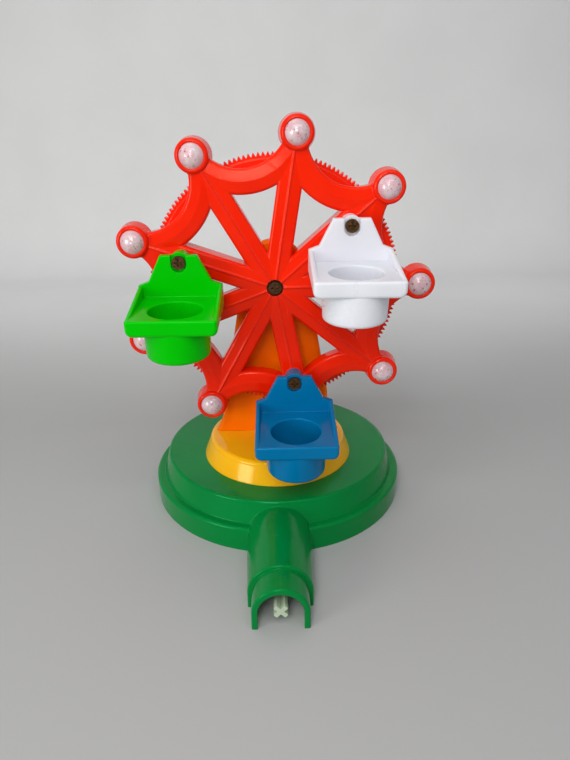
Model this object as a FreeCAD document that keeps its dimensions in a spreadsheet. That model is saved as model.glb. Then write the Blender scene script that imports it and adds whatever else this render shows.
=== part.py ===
import FreeCAD, Part
import math
import os
import re
import Sketcher

# Crank-driven toy ferris wheel: a two-step round base with a front tunnel, a half-round tower on a low
# foot, a nine-spoke wheel with a toothed ring behind it, three hanging seats and the hidden gear train.
#
# Frame: X to the right, -Y towards the viewer ("forward"), Z up. The origin is the centre of the base
# disc on the surface it stands on. Places along the wheel's axis are written as distances forward.

Vector = FreeCAD.Vector

os.makedirs("parts", exist_ok=True)
doc = FreeCAD.newDocument("FerrisWheelToy")
sheet = doc.addObject("Spreadsheet::Sheet", "Sizes")

SIZES = (
    # base
    ("base_radius", 60.2, "flange of the base"),
    ("base_step", 10.9, "height of the flange"),
    ("drum_low_radius", 56.4, "drum where it leaves the flange"),
    ("drum_top_radius", 53.6, "drum at its top edge"),
    ("drum_top", 20.9, "height of the drum"),
    ("flange_rounding", 1.3, "rounded top edge of the flange"),
    ("drum_rounding", 1.2, "rounded top edge of the drum"),
    ("base_wall", 2.2, "wall of the base moulding"),
    ("cover_thickness", 1.4, "plate that closes the base from below"),
    ("cover_gap", 0.4, "gap round the cover plate"),
    ("window_half_width", 14.6, "opening in the drum's roof for the idler gear"),
    ("window_back", 8.6, "rear edge of that opening, behind the origin"),
    ("window_front", 5.2, "front edge of that opening, forward of the origin"),
    ("cover_boss_across", 36.0, "cover screws, sideways"),
    ("cover_boss_along", 30.0, "cover screws, along the tunnel"),
    ("foot_boss_across", 23.5, "foot screws, sideways"),
    ("foot_boss_along", 15.0, "foot screws from the foot's centre, along the tunnel"),
    # tunnel
    ("axis_height", 7.0, "axis of the drive shaft"),
    ("tunnel_radius", 12.3, "outside of the tunnel's arch at its front end"),
    ("tunnel_root_radius", 14.2, "outside of the tunnel's arch inside the drum"),
    ("tunnel_crown", 18.8, "height of the tunnel's top"),
    ("tunnel_front", 90.6, "front end of the tunnel"),
    ("tunnel_bore", 9.5, "inside of the tunnel"),
    ("tunnel_rib", 2.0, "half of how far the tunnel's walls reach into the drum"),
    ("spigot_radius", 10.55, "outside of the stepped-down front end"),
    ("spigot_front", 101.3, "front end of the spigot"),
    ("spigot_bore", 8.35, "inside of the spigot"),
    ("spigot_rounding", 0.7, "rounded outer edge of the spigot's and the tunnel's front"),
    ("web_front", 68.0, "front face of the bearing web in the tunnel"),
    ("web_thickness", 3.0, "bearing web in the tunnel"),
    ("rear_wall_back", 16.5, "rear face of the rear bearing wall, behind the origin"),
    ("rear_wall_thickness", 3.0, "rear bearing wall"),
    ("rear_wall_half_width", 8.0, "rear bearing wall"),
    # drive shaft with a cross-shaped section
    ("cross_across", 5.9, "across the arms of the cross"),
    ("cross_arm", 1.65, "thickness of an arm"),
    ("shaft_front", 100.4, "front end of the drive shaft"),
    ("shaft_back", 21.5, "rear end of the drive shaft, behind the origin"),
    ("running_gap", 0.05, "radial clearance of a turning fit"),
    ("seat_gap", 0.02, "clearance of a fixed fit"),
    ("end_play", 0.3, "play along an axle"),
    ("overcut", 1.0, "how far a cutter or a rib runs past the face that it opens or joins"),
    ("collar_radius", 4.4, "retaining collar"),
    ("collar_width", 2.6, "retaining collar"),
    # gear train
    ("pressure_angle", 25.0, "of every gear"),
    ("backlash", 0.12, "thinning of each tooth at the pitch circle"),
    ("train_module", 0.8, "drive gear, idler and shaft gear"),
    ("drive_teeth", 11, "drive gear"),
    ("idler_teeth", 30, "idler gear"),
    ("shaft_gear_teeth", 17, "gear on the pinion shaft"),
    ("train_width", 4.0, "face width of these three gears"),
    ("train_back", 4.0, "rear face of these gears, behind the origin"),
    ("hub_radius", 3.5, "hub of a train gear"),
    ("pin_radius", 1.5, "steel shaft and pin"),
    ("fine_module", 0.625, "ring gear and pinion"),
    ("ring_teeth", 168, "ring gear"),
    ("pinion_teeth", 28, "pinion"),
    ("ring_width", 4.0, "ring gear from back to front"),
    ("ring_step", 0.5, "toothed rim set back from the ring's front face"),
    ("ring_step_radius", 50.6, "where that step is"),
    ("ring_inside", 43.0, "inside of the ring gear"),
    ("ring_screw_circle", 47.2, "screws that hold the ring gear"),
    # tower
    ("foot_low_radius", 35.2, "foot on the drum"),
    ("foot_top_radius", 32.2, "foot at its top edge"),
    ("foot_top", 30.5, "height of the foot's top"),
    ("foot_rounding", 2.0, "rounded edge of the foot"),
    ("face_forward", 7.0, "flat front face of the tower, forward of the origin"),
    ("tower_wall", 2.2, "wall of the tower mouldings"),
    ("flare_top", 50.0, "height where the side starts to flare"),
    ("flare_top_half", 24.1, "half width there"),
    ("flare_radius", 38.0, "curve of the flare"),
    ("crown_height", 108.0, "centre of the rounded top"),
    ("crown_radius", 13.9, "rounded top"),
    ("tower_rounding", 1.8, "rounded front edge of the tower"),
    ("tongue_half_width", 20.6, "tongue of the front plate inside the foot"),
    ("plate_thickness", 2.0, "inner plate that carries the gear pins"),
    ("plate_front", 8.0, "front face of that plate, behind the origin"),
    ("plate_half_width", 19.0, "lower part of the inner plate"),
    ("plate_neck_half", 12.4, "upper part of the inner plate"),
    ("plate_low", 21.2, "lower edge of the inner plate"),
    ("plate_waist", 31.0, "where the inner plate starts to narrow"),
    ("plate_neck", 42.0, "where it ends narrowing"),
    ("plate_high", 51.0, "upper edge of the inner plate"),
    ("plate_post_radius", 2.2, "post of the inner plate"),
    ("plate_low_across", 16.0, "lower pair of posts, sideways"),
    ("plate_low_height", 26.4, "lower pair of posts"),
    ("plate_high_across", 8.8, "upper pair of posts, sideways"),
    ("plate_high_height", 47.8, "upper pair of posts"),
    ("back_post_low", 66.0, "lower pair of rear screws"),
    ("back_post_across", 10.5, "lower pair of rear screws"),
    ("back_post_high", 110.0, "upper rear screw"),
    ("post_radius", 2.7, "screw post"),
    ("well_radius", 4.3, "outside of a screw well"),
    ("well_floor", 1.0, "inner face of a well's floor, behind the origin"),
    ("back_post_radius", 3.3, "post that takes a rear screw"),
    ("head_gap", 0.4, "clearance round a sunk screw head"),
    # wheel
    ("spoke_count", 9, "spokes and knobs"),
    ("wheel_phase", 81.0, "direction of the first spoke, in degrees"),
    ("wheel_back", 12.4, "rear plane of the wheel"),
    ("wheel_edge", 19.0, "front of spokes and bands beside their rounded edges"),
    ("wheel_crest", 19.5, "middle of the slightly crowned front of spokes and bands"),
    ("edge_rounding", 1.6, "rounded edges of spokes and bands"),
    ("bead_radius", 0.55, "thin rib along the middle of a spoke"),
    ("bead_rise", 0.35, "how far that rib stands out"),
    ("skirt_back", 8.6, "rear edge of the deeper spokes that carry seats"),
    ("skirt_gap", 0.6, "from the end of such a spoke's deep part to the ring gear"),
    ("wheel_wall", 1.9, "wall of the wheel moulding"),
    ("spoke_half_width", 5.0, "spoke"),
    ("knob_circle", 60.5, "circle through the knobs"),
    ("knob_back_radius", 7.4, "knob at its rear"),
    ("knob_radius", 6.6, "knob at its rounded rim"),
    ("knob_front", 20.9, "front of a knob's rim"),
    ("rim_inside", 5.1, "inside of the rounded rim"),
    ("groove_depth", 0.4, "groove between rim and dome"),
    ("dome_radius", 4.75, "dome"),
    ("dome_height", 2.9, "dome above the groove"),
    ("scallop_circle", 68.4, "centres of the scallops"),
    ("scallop_radius", 20.0, "scallop"),
    ("band_width", 10.0, "band between scallop and window"),
    ("hub_recess", 3.5, "recess round the hub screw"),
    ("hub_recess_floor", 17.1, "floor of that recess"),
    ("hub_post_radius", 2.7, "post that the wheel turns on"),
    ("hub_boss", 6.3, "boss round the post"),
    # seats
    ("pivot_circle", 40.0, "circle through the seat pivots"),
    ("seat_front", 29.4, "front face of a seat's back plate at the pivot"),
    ("seat_plate", 2.6, "back plate"),
    ("seat_lean", 3.3, "how far a seat hangs forward, in degrees"),
    ("seat_top", 2.8, "top edge above the pivot"),
    ("seat_top_half", 7.3, "half width of the top edge"),
    ("seat_neck", 7.6, "end of the slanted edge, below the pivot"),
    ("seat_neck_half", 12.6, "half width there"),
    ("seat_shoulder", 9.2, "shoulder, below the pivot"),
    ("seat_half_width", 16.8, "tray"),
    ("seat_floor", 13.8, "tray floor, below the pivot"),
    ("seat_under", 20.1, "underside of the tray, below the pivot"),
    ("seat_depth", 29.4, "front of the tray from the back plate's face"),
    ("seat_wall", 1.8, "walls of the tray"),
    ("front_rounding", 1.4, "rounded sides and underside of the tray's front"),
    ("tray_rounding", 0.75, "rounded upper edges of the tray"),
    ("plate_rounding", 0.5, "rounded front edges of the back plate"),
    ("rim_rounding", 0.5, "rounded rim of the cup's hole"),
    ("seat_corner", 2.7, "rounded lower corners"),
    ("cup_place", 16.3, "centre of the cup from the back plate's face"),
    ("cup_hole", 10.3, "inside of the cup"),
    ("cup_top_radius", 12.7, "outside of the cup below the tray"),
    ("cup_low_radius", 12.4, "outside of the cup near its bottom"),
    ("cup_bottom", 31.9, "bottom of the cup, below the pivot"),
    ("cup_rounding", 1.5, "rounded bottom edge"),
    ("seat_boss", 3.9, "boss behind the back plate"),
    ("seat_post_radius", 2.1, "post on the spoke"),
    ("seat_post_foot", 3.3, "shoulder of the post"),
    ("seat_standoff", 21.0, "front of that shoulder"),
    ("notch_half_width", 3.0, "recess round the seat screw"),
    ("notch_drop", 0.9, "centre of its round end, below the pivot"),
    ("notch_floor", 27.9, "floor of the recess"),
    # screws
    ("screw_head", 2.6, "radius of a screw head"),
    ("screw_head_height", 1.9, "screw head"),
    ("screw_shank", 1.1, "radius of a shank"),
    ("screw_length", 8.0, "length under the head"),
    ("short_screw_length", 5.6, "length under the head, base and ring screws"),
    ("small_head", 2.1, "radius of a hidden screw's head"),
    ("small_head_height", 1.4, "hidden screw's head"),
    ("slot_width", 0.7, "arm of the cross recess in a head"),
    ("slot_depth", 0.8, "cross recess in a head"),
    ("slot_share", 0.6, "reach of the cross recess, as a share of the head"),
    ("washer_radius", 3.3, "washer under the hub screw"),
    ("washer_thickness", 0.6, "washer under the hub screw"),
)

for row, (alias, value, note) in enumerate(SIZES, start=1):
    sheet.set(f"A{row}", note)
    sheet.set(f"B{row}", str(value))
    sheet.setAlias(f"B{row}", alias)
doc.recompute()

ALIASES = {entry[0] for entry in SIZES}


def size(alias):
    """The number in one cell of the sheet."""
    return float(getattr(sheet, alias))


def bind(text):
    """An expression with every size name pointed at the sheet."""
    return re.sub(r"[a-z_]+", lambda m: f"Sizes.{m.group(0)}" if m.group(0) in ALIASES else m.group(0), text)


def number(text):
    """The value that an expression has now."""
    return float(sheet.evalExpression(bind(text)))


# Places that follow from the gears' teeth
IDLER_Z = "(axis_height + train_module * (drive_teeth + idler_teeth) / 2)"
PINION_Z = f"({IDLER_Z} + train_module * (idler_teeth + shaft_gear_teeth) / 2)"
HUB_Z = f"({PINION_Z} + fine_module * (ring_teeth + pinion_teeth) / 2)"
RING_BACK = "(wheel_back - ring_width)"
PLATE_BACK = "(plate_front + plate_thickness)"
ROOF_UNDER = "(drum_top - base_wall)"
FOOT_UNDER = "(foot_top - tower_wall)"
TUNNEL_START = "(drum_top_radius - base_wall - 2 * tunnel_rib)"


# ---------------------------------------------------------------- sketches and features

def origin_plane(body, role):
    return [item for item in body.Origin.OriginFeatures if item.Role == role][0]


def pin_point(sketch, geometry, place, point):
    """Hold one sketch point at the place that two expressions give."""
    axes = (("DistanceX", -2, point[0]), ("DistanceY", -1, point[1]))
    for kind, axis, text in axes:
        if text == "0":
            sketch.addConstraint(Sketcher.Constraint("PointOnObject", geometry, place, axis))
            continue
        index = sketch.addConstraint(Sketcher.Constraint(kind, geometry, place, number(text)))
        sketch.setExpression(f"Constraints[{index}]", bind(text))


def new_sketch(body, name, role, offset):
    sketch = body.newObject("Sketcher::SketchObject", name)
    sketch.AttachmentSupport = (origin_plane(body, role), [""])
    sketch.MapMode = "FlatFace"
    if offset != "0":
        sketch.setExpression("AttachmentOffset.Base.z", bind(offset))
    return sketch


def outline(body, name, role, offset, steps):
    """A closed sketch. A step is (x, y) after a straight line, or (x, y, centre x, centre y, turn) after an
    arc, where turn is "left" or "right"; the first step only says where the outline starts."""
    sketch = new_sketch(body, name, role, offset)
    corners = [Vector(number(step[0]), number(step[1]), 0) for step in steps]
    ends = []
    centre_locks = []
    for index in range(len(steps)):
        following = (index + 1) % len(steps)
        start, finish = corners[index], corners[following]
        step = steps[following]
        if len(step) == 2:
            sketch.addGeometry(Part.LineSegment(start, finish))
            ends.append((1, 2))
            continue
        centre = Vector(number(step[2]), number(step[3]), 0)
        first, last = (start, finish) if step[4] == "left" else (finish, start)
        angles = [math.atan2(p.y - centre.y, p.x - centre.x) for p in (first, last)]
        circle = Part.Circle(centre, Vector(0, 0, 1), start.distanceToPoint(centre))
        sketch.addGeometry(Part.ArcOfCircle(circle, angles[0], angles[1]))
        ends.append((1, 2) if step[4] == "left" else (2, 1))
        along_x = abs(finish.y - start.y) >= abs(finish.x - start.x)
        centre_locks.append((index, "DistanceX" if along_x else "DistanceY", step[2] if along_x else step[3]))
    for index in range(len(steps)):
        following = (index + 1) % len(steps)
        joint = Sketcher.Constraint("Coincident", index, ends[index][1], following, ends[following][0])
        sketch.addConstraint(joint)
    for index, step in enumerate(steps):
        pin_point(sketch, index, ends[index][0], step[:2])
    for index, kind, text in centre_locks:
        if text == "0":
            axis = -2 if kind == "DistanceX" else -1
            sketch.addConstraint(Sketcher.Constraint("PointOnObject", index, 3, axis))
            continue
        lock = sketch.addConstraint(Sketcher.Constraint(kind, index, 3, number(text)))
        sketch.setExpression(f"Constraints[{lock}]", bind(text))
    return sketch


def circles(body, name, role, offset, rings):
    """A sketch of circles, each (centre x, centre y, radius)."""
    sketch = new_sketch(body, name, role, offset)
    for index, (across, along, radius) in enumerate(rings):
        centre = Vector(number(across), number(along), 0)
        sketch.addGeometry(Part.Circle(centre, Vector(0, 0, 1), number(radius)))
        pin_point(sketch, index, 3, (across, along))
        constraint = sketch.addConstraint(Sketcher.Constraint("Radius", index, number(radius)))
        sketch.setExpression(f"Constraints[{constraint}]", bind(radius))
    return sketch


def rectangle(body, name, role, offset, left, right, low, high):
    return outline(body, name, role, offset, [(left, low), (right, low), (right, high), (left, high)])


def new_body(name):
    return doc.addObject("PartDesign::Body", name)


def extrude(body, kind, sketch, length, backwards=False):
    feature = body.newObject(f"PartDesign::{kind}", f"{sketch.Name}_{kind}")
    feature.Profile = sketch
    feature.setExpression("Length", bind(length))
    feature.Reversed = backwards
    return feature


def pad(body, sketch, length, backwards=False):
    return extrude(body, "Pad", sketch, length, backwards)


def pocket(body, sketch, length, backwards=False):
    return extrude(body, "Pocket", sketch, length, backwards)


def spin(body, sketch, kind="Revolution", axis="V_Axis"):
    feature = body.newObject(f"PartDesign::{kind}", f"{sketch.Name}_{kind}")
    feature.Profile = sketch
    feature.ReferenceAxis = (sketch, [axis])
    feature.Angle = 360
    return feature


TOLERANCE = 1e-4


def round_edges(body, name, radius, wanted):
    """Fillet of those edges of the body's last feature that a rule picks by their bounding box."""
    doc.recompute()
    solid = body.Tip
    picked = [f"Edge{index}" for index, edge in enumerate(solid.Shape.Edges, start=1) if wanted(edge.BoundBox)]
    rounding = body.newObject("PartDesign::Fillet", name)
    rounding.Base = (solid, picked)
    rounding.setExpression("Radius", bind(radius))
    return rounding


def lies_at(low, high, level):
    """True where a span has no length and lies on a level."""
    return abs(low - level) < TOLERANCE and abs(high - level) < TOLERANCE


# ---------------------------------------------------------------- primitives and booleans

FORWARD_TURN = FreeCAD.Rotation(Vector(1, 0, 0), 90)


def place(item, across="0", forward="0", height="0"):
    """Bind an object's position; forward counts towards -Y."""
    for axis, text in (("x", across), ("y", f"-({forward})"), ("z", height)):
        item.setExpression(f"Placement.Base.{axis}", bind(text))
    return item


def rod(name, radius, back, front, across="0", height="0"):
    """A cylinder along the wheel's axis, from one forward distance to another."""
    item = doc.addObject("Part::Cylinder", name)
    item.setExpression("Radius", bind(radius))
    item.setExpression("Height", bind(f"({front}) - ({back})"))
    item.Placement = FreeCAD.Placement(Vector(), FORWARD_TURN)
    return place(item, across, back, height)


def upright(name, radius, low, high, across="0", forward="0"):
    """A cylinder that stands on the XY plane's direction."""
    item = doc.addObject("Part::Cylinder", name)
    item.setExpression("Radius", bind(radius))
    item.setExpression("Height", bind(f"({high}) - ({low})"))
    return place(item, across, forward, low)


def block(name, left, right, back, front, low, high):
    """A box; back and front are forward distances."""
    item = doc.addObject("Part::Box", name)
    item.setExpression("Length", bind(f"({right}) - ({left})"))
    item.setExpression("Width", bind(f"({front}) - ({back})"))
    item.setExpression("Height", bind(f"({high}) - ({low})"))
    return place(item, left, front, low)


def fuse(name, items):
    item = doc.addObject("Part::MultiFuse", name)
    item.Shapes = items
    return item


def cut(name, base, tools):
    item = doc.addObject("Part::Cut", name)
    item.Base = base
    item.Tool = tools[0] if len(tools) == 1 else fuse(f"{name}_tools", tools)
    return item


def group(name, items):
    item = doc.addObject("Part::Compound", name)
    item.Links = items
    return item


def feature_of(name, shape):
    item = doc.addObject("Part::Feature", name)
    item.Shape = shape
    return item


nodes = {}


def keep(name, item):
    """Name a finished sub-part; its Label is also the name of its file."""
    item.Label = name
    nodes[name] = item


# ---------------------------------------------------------------- screws

def screw(name, head, head_height, shank, length, across, seat, height, facing="forward"):
    """A screw along the wheel's axis whose head rests on the forward distance called seat."""
    sign = "+" if facing == "forward" else "-"
    crown = f"({seat}) {sign} {head_height}"
    slot = f"({seat}) {sign} ({head_height} - slot_depth)"
    tip = f"({seat}) {'-' if facing == 'forward' else '+'} {length}"
    above = f"{crown} {sign} overcut"
    spans = [sorted(pair, key=number) for pair in ((seat, crown), (seat, tip), (slot, above))]
    top = rod(f"{name}_head", head, spans[0][0], spans[0][1], across, height)
    stem = rod(f"{name}_shank", shank, spans[1][0], spans[1][1], across, height)
    long_arm = f"{head} * slot_share"
    bars = [block(f"{name}_bar_a", f"{across} - {long_arm}", f"{across} + {long_arm}", *spans[2],
                  f"({height}) - slot_width / 2", f"({height}) + slot_width / 2"),
            block(f"{name}_bar_b", f"{across} - slot_width / 2", f"{across} + slot_width / 2", *spans[2],
                  f"({height}) - {long_arm}", f"({height}) + {long_arm}")]
    return cut(name, fuse(f"{name}_blank", [top, stem]), bars)


def upright_screw(name, across, forward, seat, length):
    """A screw driven upwards whose head lies under the height called seat."""
    head = upright(f"{name}_head", "small_head", f"{seat} - small_head_height", seat, across, forward)
    stem = upright(f"{name}_shank", "screw_shank", seat, f"({seat}) + {length}", across, forward)
    low = f"{seat} - small_head_height - overcut"
    high = f"{seat} - small_head_height + slot_depth"
    long_arm = "small_head * slot_share"
    bars = [block(f"{name}_bar_a", f"{across} - {long_arm}", f"{across} + {long_arm}",
                  f"{forward} - slot_width / 2", f"{forward} + slot_width / 2", low, high),
            block(f"{name}_bar_b", f"{across} - slot_width / 2", f"{across} + slot_width / 2",
                  f"{forward} - {long_arm}", f"{forward} + {long_arm}", low, high)]
    return cut(name, fuse(f"{name}_blank", [head, stem]), bars)


# ---------------------------------------------------------------- base

COVER_SPOTS = [(f"{side} * cover_boss_across", f"{end} * cover_boss_along")
               for side in (-1, 1) for end in (-1, 1)]
FOOT_SPOTS = [(f"{side} * foot_boss_across", f"face_forward + {end} * foot_boss_along")
              for side in (-1, 1) for end in (-1, 1)]


def arch(body, name, radius, offset, centre="axis_height"):
    """The tunnel's section: a half circle on straight legs."""
    steps = [(f"-{radius}", "0"), (radius, "0"), (radius, centre),
             (f"-{radius}", centre, "0", centre, "left")]
    return outline(body, name, "XZ_Plane", offset, steps)


def on_tunnel_fronts(box):
    """The outer edges of the tunnel's and the spigot's front faces, without those on the ground."""
    if box.ZMax < TOLERANCE:
        return False
    outside = box.XLength > 2 * size("spigot_radius") - TOLERANCE or box.XLength < TOLERANCE
    on_spigot = lies_at(box.YMin, box.YMax, -size("spigot_front"))
    on_tunnel = lies_at(box.YMin, box.YMax, -size("tunnel_front"))
    wide = max(abs(box.XMin), abs(box.XMax)) > size("tunnel_radius") - TOLERANCE
    return outside and (on_spigot or (on_tunnel and wide))


def make_base_shell():
    body = new_body("base_body")
    lean = "(drum_low_radius - drum_top_radius) / (drum_top - base_step)"
    shoulder = f"drum_top_radius + {lean} * drum_rounding"
    steps = [("base_radius - base_wall", "0"), ("base_radius", "0"),
             ("base_radius", "base_step - flange_rounding"),
             ("base_radius - flange_rounding", "base_step", "base_radius - flange_rounding",
              "base_step - flange_rounding", "left"),
             ("drum_low_radius", "base_step"),
             (shoulder, "drum_top - drum_rounding"),
             ("drum_top_radius - drum_rounding", "drum_top", "drum_top_radius - drum_rounding",
              "drum_top - drum_rounding", "left"),
             ("0", "drum_top"), ("0", ROOF_UNDER),
             ("drum_top_radius - base_wall", ROOF_UNDER),
             ("drum_low_radius - base_wall", "base_step - base_wall"),
             ("base_radius - base_wall", "base_step - base_wall")]
    spin(body, outline(body, "base_profile", "XZ_Plane", "0", steps))
    start = TUNNEL_START
    tunnel = body.newObject("PartDesign::AdditiveLoft", "tunnel_outside")
    root_centre = "(tunnel_crown - tunnel_root_radius)"
    tunnel.Profile = arch(body, "tunnel_root", "tunnel_root_radius", start, root_centre)
    end_centre = "(tunnel_crown - tunnel_radius)"
    tunnel.Sections = [arch(body, "tunnel_end", "tunnel_radius", "tunnel_front", end_centre)]
    tunnel.Ruled = True
    pad(body, arch(body, "spigot_outside", "spigot_radius", "tunnel_front"), "spigot_front - tunnel_front")
    round_edges(body, "spigot_edges", "min(spigot_rounding; 0.3 * (spigot_radius - spigot_bore))",
                on_tunnel_fronts)
    pocket(body, arch(body, "spigot_inside", "spigot_bore", "spigot_front"), "spigot_front - tunnel_front")
    bore_end = "tunnel_front - base_wall"
    pocket(body, arch(body, "tunnel_inside", "tunnel_bore", bore_end), f"{bore_end} - {start} + overcut")
    pocket(body, arch(body, "mouth_inside", "spigot_bore", "tunnel_front"), "base_wall + overcut")
    web = arch(body, "web", "(tunnel_bore + base_wall / 2)", "web_front - web_thickness")
    pad(body, web, "web_thickness")
    relief = rectangle(body, "web_relief", "XZ_Plane", "web_front", "-tunnel_bore", "tunnel_bore", "0",
                       "cover_thickness")
    pocket(body, relief, "web_thickness")
    wall = rectangle(body, "rear_wall", "XZ_Plane", "-rear_wall_back", "-rear_wall_half_width",
                     "rear_wall_half_width", "cover_thickness + cover_gap", "drum_top - base_wall / 2")
    pad(body, wall, "rear_wall_thickness")
    hole = [("0", "axis_height", "cross_across / 2 + running_gap")]
    pocket(body, circles(body, "web_bearing", "XZ_Plane", "web_front", hole), "web_thickness")
    rear_hole = circles(body, "rear_bearing", "XZ_Plane", "-rear_wall_back + rear_wall_thickness", hole)
    pocket(body, rear_hole, "rear_wall_thickness")
    window = rectangle(body, "gear_window", "XY_Plane", "drum_top", "-window_half_width", "window_half_width",
                       "-window_front", "window_back")
    pocket(body, window, "base_wall")
    spots = [(across, f"-({along})", "back_post_radius") for across, along in COVER_SPOTS]
    pad(body, circles(body, "cover_bosses", "XY_Plane", "cover_thickness", spots),
        f"{ROOF_UNDER} - cover_thickness + base_wall / 2")
    spots = [(across, f"-({along})", "screw_shank + seat_gap") for across, along in COVER_SPOTS]
    pocket(body, circles(body, "cover_pilots", "XY_Plane", "cover_thickness", spots),
           "short_screw_length + overcut", True)
    spots = [(across, f"-({along})", "screw_shank + running_gap") for across, along in FOOT_SPOTS]
    pocket(body, circles(body, "foot_holes", "XY_Plane", "drum_top", spots), "base_wall")
    keep("base_shell", body)


def make_base_cover():
    body = new_body("cover_body")
    radius = "base_radius - base_wall - cover_gap"
    pad(body, circles(body, "cover_disc", "XY_Plane", "0", [("0", "0", radius)]), "cover_thickness")
    countersinks = []
    for index, (across, forward) in enumerate(COVER_SPOTS):
        item = doc.addObject("Part::Cone", f"countersink_{index}")
        item.setExpression("Radius1", bind("small_head + seat_gap"))
        item.setExpression("Radius2", bind("screw_shank + seat_gap"))
        item.setExpression("Height", bind("cover_thickness"))
        countersinks.append(place(item, across, forward, "0"))
    notch = block("tunnel_notch", "-tunnel_root_radius - cover_gap", "tunnel_root_radius + cover_gap",
                  f"{TUNNEL_START} - cover_gap", "base_radius", "-overcut", "cover_thickness + overcut")
    keep("base_cover", cut("cover", body, countersinks + [notch]))


def make_cover_screws():
    screws = []
    for index, (across, forward) in enumerate(COVER_SPOTS):
        head = doc.addObject("Part::Cone", f"cover_screw_{index}_head")
        head.setExpression("Radius1", bind("small_head"))
        head.setExpression("Radius2", bind("screw_shank"))
        head.setExpression("Height", bind("cover_thickness"))
        place(head, across, forward, "0")
        stem = upright(f"cover_screw_{index}_shank", "screw_shank", "cover_thickness",
                       "cover_thickness + short_screw_length", across, forward)
        arm = "small_head * slot_share"
        bars = [block(f"cover_screw_{index}_a", f"{across} - {arm}", f"{across} + {arm}",
                      f"{forward} - slot_width / 2", f"{forward} + slot_width / 2", "-overcut", "slot_depth"),
                block(f"cover_screw_{index}_b", f"{across} - slot_width / 2", f"{across} + slot_width / 2",
                      f"{forward} - {arm}", f"{forward} + {arm}", "-overcut", "slot_depth")]
        blank = fuse(f"cover_screw_{index}_blank", [head, stem])
        screws.append(cut(f"cover_screw_{index}", blank, bars))
    keep("cover_screws", group("cover_screw_group", screws))


def make_foot_screws():
    screws = [upright_screw(f"foot_screw_{index}", across, forward, ROOF_UNDER, "short_screw_length")
              for index, (across, forward) in enumerate(FOOT_SPOTS)]
    keep("foot_screws", group("foot_screw_group", screws))


# ---------------------------------------------------------------- tower

def column_steps(inset):
    """Half of the tower's outline, from its foot up to the crown, moved inwards by an inset."""
    crown = f"(crown_radius - {inset})"
    centre_x = "(flare_top_half + flare_radius)"
    drop = "(flare_top - foot_top)"
    low = f"(flare_radius + flare_top_half - sqrt(flare_radius ^ 2 - {drop} ^ 2))"
    return {"low": f"{low} - {inset}", "flare": f"flare_top_half - {inset}", "crown": crown,
            "centre_x": centre_x}


def half_profile(body, name, inset, foot):
    """Closed half outline of the column on the XZ plane through the foot's centre, with or without foot."""
    part = column_steps(inset)
    low_z = FOOT_UNDER if foot else "foot_top"
    steps = [("0", low_z), (part["low"], low_z)] if not foot else list(foot)
    if foot:
        steps.append((part["low"], "foot_top"))
    steps += [(part["flare"], "flare_top", part["centre_x"], "flare_top", "right"),
              (part["crown"], "crown_height"),
              ("0", f"crown_height + {part['crown']}", "0", "crown_height", "left")]
    return outline(body, name, "XZ_Plane", "face_forward", steps)


def full_outline(body, name, offset, inset, low_z):
    """Whole outline of the tower's flat face, moved inwards by an inset."""
    part = column_steps(inset)
    steps = [(f"-({part['low']})", low_z), (part["low"], low_z)]
    if low_z != "foot_top":
        steps.append((part["low"], "foot_top"))
    steps += [(part["flare"], "flare_top", part["centre_x"], "flare_top", "right"),
              (part["crown"], "crown_height"),
              (f"-{part['crown']}", "crown_height", "0", "crown_height", "left"),
              (f"-({part['flare']})", "flare_top")]
    first = (f"-({part['low']})", "foot_top", f"-{part['centre_x']}", "flare_top", "right")
    if low_z != "foot_top":
        steps.append(first)
    else:
        steps[0] = (f"-({part['low']})", low_z, f"-{part['centre_x']}", "flare_top", "right")
    return outline(body, name, "XZ_Plane", offset, steps)


BACK_POSTS = [("-back_post_across", "back_post_low"), ("back_post_across", "back_post_low"),
              ("0", "back_post_high")]
PLATE_POSTS = [(f"{side} * plate_{level}_across", f"plate_{level}_height") for side in (-1, 1)
               for level in ("low", "high")]
SEAM = "(face_forward - tower_wall)"
WELL_FLOOR = "(-well_floor)"
WELL_SEAT = "(-well_floor - tower_wall)"


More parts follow.
